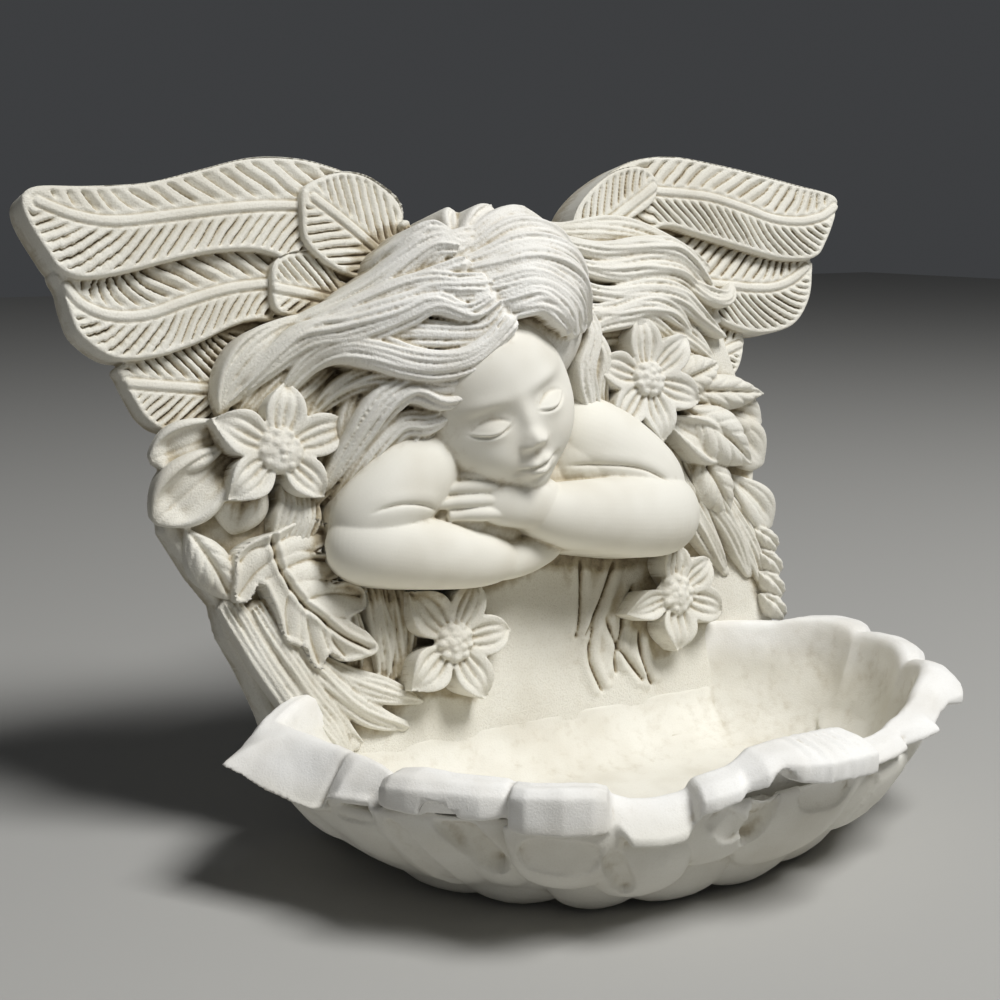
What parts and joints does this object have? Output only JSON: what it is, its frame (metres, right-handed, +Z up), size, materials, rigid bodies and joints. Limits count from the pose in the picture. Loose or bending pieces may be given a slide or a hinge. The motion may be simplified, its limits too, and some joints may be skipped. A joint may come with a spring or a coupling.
{
  "type": "cherub relief ornament with basin",
  "caption": "Cast garden ornament: a winged cherub resting on folded arms among flowers and leaves, above an open leaf-edged basin",
  "frame": {"origin": "centre of the bounding box in plan, on the ground it stands on", "axes": "+X to the ornament's right as seen from the front, -Y out of the front over the basin, +Z up; the relief slab leans back 13 degrees"},
  "size_m": [0.3056, 0.1822, 0.2064],
  "materials": {
    "antiqued_plaster": "matte ivory cast plaster with a thin tan wash left in the hollows"
  },
  "bodies": {
    "root": {"cherub_basin_casting": "antiqued_plaster"}
  },
  "joints": []
}
